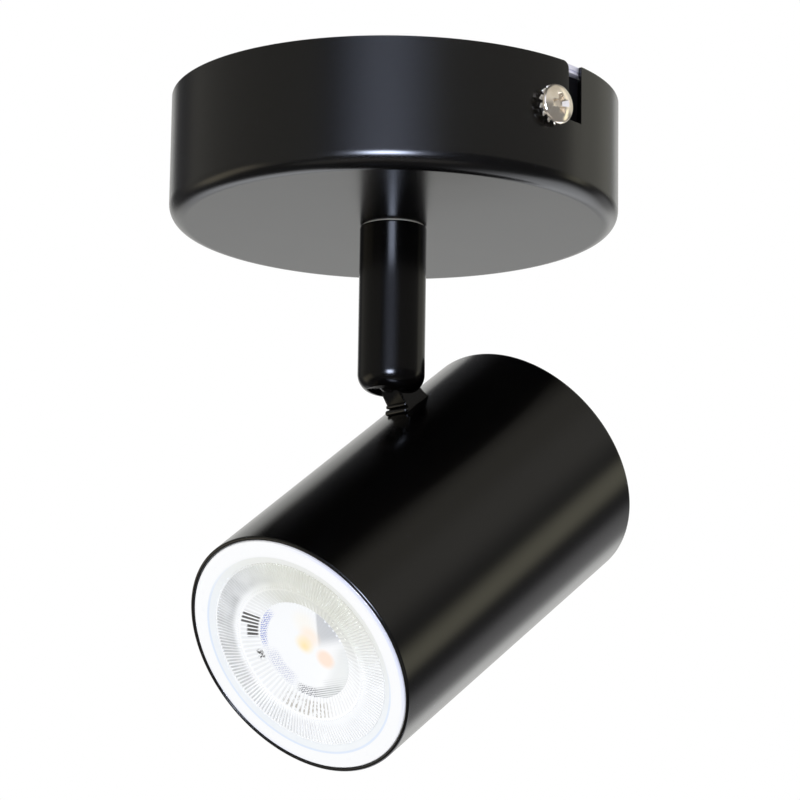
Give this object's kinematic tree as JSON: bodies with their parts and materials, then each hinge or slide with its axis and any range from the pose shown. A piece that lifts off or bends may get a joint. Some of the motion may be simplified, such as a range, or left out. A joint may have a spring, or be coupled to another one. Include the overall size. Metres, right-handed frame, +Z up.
{
  "type": "spotlight fixture",
  "caption": "Ceiling spotlight with a round canopy, a short swivelling stem and a tilting tubular head around a twist-lock reflector lamp.",
  "frame": {"origin": "centre of the canopy on the ceiling plane, midway between the bracket's two ceiling slots", "axes": "+Z up into the ceiling, +X along the bracket through the two side screws, the head shines towards -Y and down"},
  "size_m": [0.0962, 0.099, 0.1363],
  "materials": {
    "black_coat": "satin powder coat",
    "zinc_plate": "bright zinc plate",
    "nickel_plate": "nickel plate",
    "spring_steel": "oiled spring steel",
    "brass": "drawn brass",
    "nylon": "moulded nylon",
    "black_plastic": "moulded, fine grain",
    "sleeve": "woven glass sleeve, varnished",
    "lead_brown": "extruded",
    "lead_green": "extruded",
    "ceramic": "unglazed steatite",
    "lamp_white": "moulded, satin",
    "clear_optic": "pressed clear",
    "aluminium": "stamped",
    "board_white": "white solder mask",
    "phosphor": "cast silicone",
    "board_green": "glass laminate"
  },
  "bodies": {
    "canopy": {"canopy_shell": "black_coat", "ceiling_bracket": "zinc_plate", "side_screws": "nickel_plate", "side_tooth_washers": "spring_steel", "swivel_bush": "nylon", "swivel_stop_pin": "zinc_plate", "terminal_block": "black_plastic", "terminal_clamps": "brass", "terminal_screws": "zinc_plate", "terminal_fixing_screw": "zinc_plate", "earth_screw": "brass", "earth_washer": "zinc_plate", "earth_lead": "lead_green", "canopy_leads": "lead_brown"},
    "stem": {"stem_tube": "black_coat", "threaded_nipple": "zinc_plate", "stop_washer": "zinc_plate", "spring_washer": "spring_steel", "nipple_nut": "zinc_plate", "nipple_locknut": "zinc_plate", "pressure_sleeve": "zinc_plate", "disc_springs": "spring_steel", "friction_cup": "brass", "stem_lead_sleeve": "sleeve"},
    "head": {"knuckle": "black_coat", "trunnion_pins": "spring_steel", "knuckle_washer": "zinc_plate", "knuckle_nut": "zinc_plate", "head_tube": "black_coat", "rear_cap": "black_coat", "holder_bracket": "zinc_plate", "lampholder": "ceramic", "holder_contacts": "nickel_plate", "holder_screws": "zinc_plate", "head_leads": "lead_brown"},
    "lamp": {"lamp_housing": "lamp_white", "lamp_optic": "clear_optic", "heat_spreader": "aluminium", "led_board": "board_white", "led_chips": "phosphor", "driver_board": "board_green", "driver_parts": "black_plastic", "lamp_base": "lamp_white", "lamp_pins": "nickel_plate"}
  },
  "joints": [
    {"name": "stem_swivel", "type": "hinge", "parent": "canopy", "child": "stem", "pos_m": [0, 0, 0], "axis": [0, 0, 1], "range_deg": [-166, 160]},
    {"name": "head_tilt", "type": "hinge", "parent": "stem", "child": "head", "pos_m": [0, 0, -0.0553], "axis": [0.9988, 0.0489, 0], "range_deg": [-36.9, 53.1]},
    {"name": "lamp_twist", "type": "hinge", "parent": "head", "child": "lamp", "pos_m": [0.00117, -0.024, -0.11573], "axis": [-0.0391, 0.7987, 0.6004], "range_deg": [0, 20]}
  ]
}
